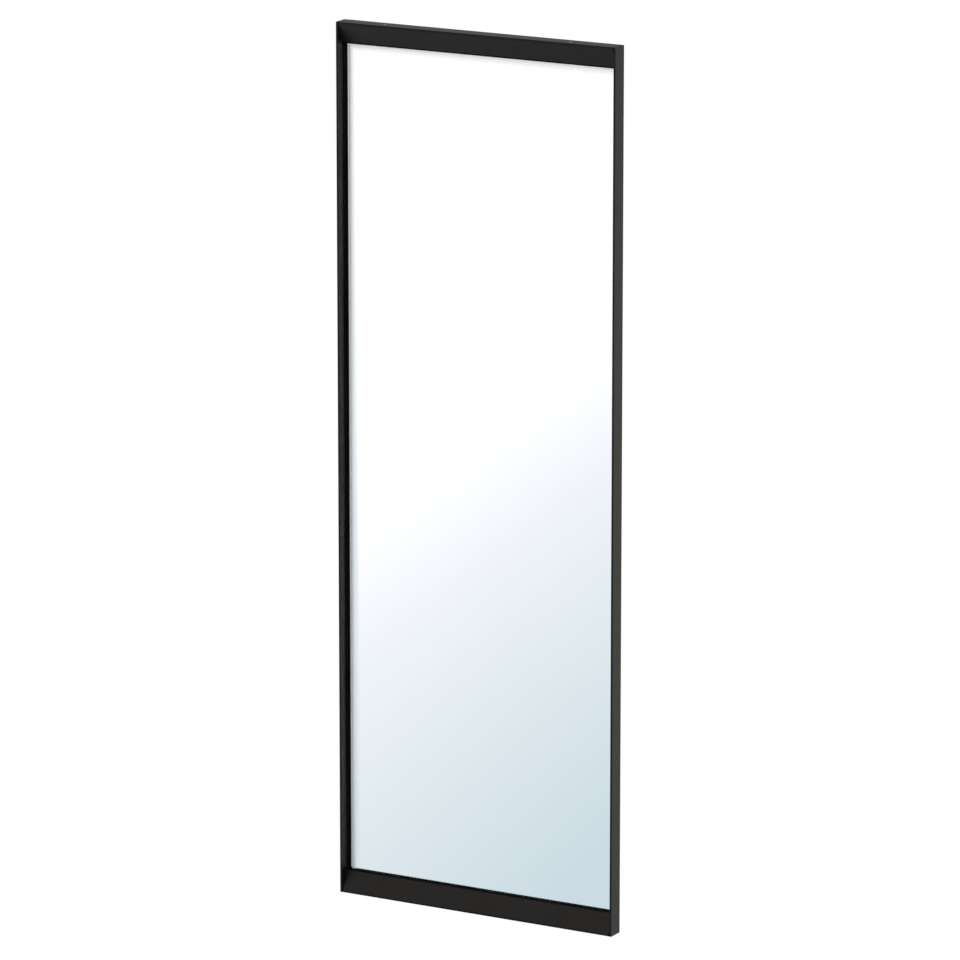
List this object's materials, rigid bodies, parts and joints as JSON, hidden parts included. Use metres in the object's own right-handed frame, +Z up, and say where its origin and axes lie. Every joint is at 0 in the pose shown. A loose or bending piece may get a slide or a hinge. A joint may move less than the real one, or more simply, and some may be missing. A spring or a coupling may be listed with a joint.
{
  "type": "framed wall mirror",
  "caption": "Tall rectangular wall mirror in a slim black metal frame, with thin stiles, sloped top and bottom rails, recessed glass and swinging hanger rings on the back.",
  "frame": {"origin": "on the wall plane, behind the middle of the mirror", "axes": "+Z up along the height, +Y from the glass towards the wall, +X to the right as seen from the front"},
  "size_m": [0.49, 0.0318, 1.4],
  "materials": {
    "frame_black": "matt black powder coat on extruded aluminium",
    "mirror": "silvered float glass, ground edges",
    "film_grey": "grey safety film",
    "hardboard": "brown hardboard, smooth side out",
    "block_plastic": "plain light plastic",
    "rubber_black": "black rubber",
    "zinc_steel": "bright zinc plated steel"
  },
  "bodies": {
    "frame": {"back_panel": "hardboard", "bottom_left_bumper": "rubber_black", "bottom_left_corner_plate": "zinc_steel", "bottom_rail": "frame_black", "bottom_right_bumper": "rubber_black", "bottom_right_corner_plate": "zinc_steel", "bottom_strip": "rubber_black", "corner_screws": "zinc_steel", "hanger_screws": "zinc_steel", "left_hanger_strap": "zinc_steel", "left_stile": "frame_black", "left_strip": "rubber_black", "mirror_glass": "mirror", "right_hanger_strap": "zinc_steel", "right_stile": "frame_black", "right_strip": "rubber_black", "safety_film": "film_grey", "setting_blocks": "block_plastic", "top_left_bumper": "rubber_black", "top_left_corner_plate": "zinc_steel", "top_rail": "frame_black", "top_right_bumper": "rubber_black", "top_right_corner_plate": "zinc_steel", "top_strip": "rubber_black"},
    "left_ring": {"left_hanger_ring": "zinc_steel"},
    "right_ring": {"right_hanger_ring": "zinc_steel"}
  },
  "joints": [
    {"name": "left_ring_swing", "type": "hinge", "parent": "frame", "child": "left_ring", "pos_m": [-0.2328, -0.00268, 0.47], "axis": [1, 0, 0], "range_deg": [0, 175]},
    {"name": "right_ring_swing", "type": "hinge", "parent": "frame", "child": "right_ring", "pos_m": [0.2328, -0.00268, 0.47], "axis": [1, 0, 0], "range_deg": [0, 175]}
  ]
}
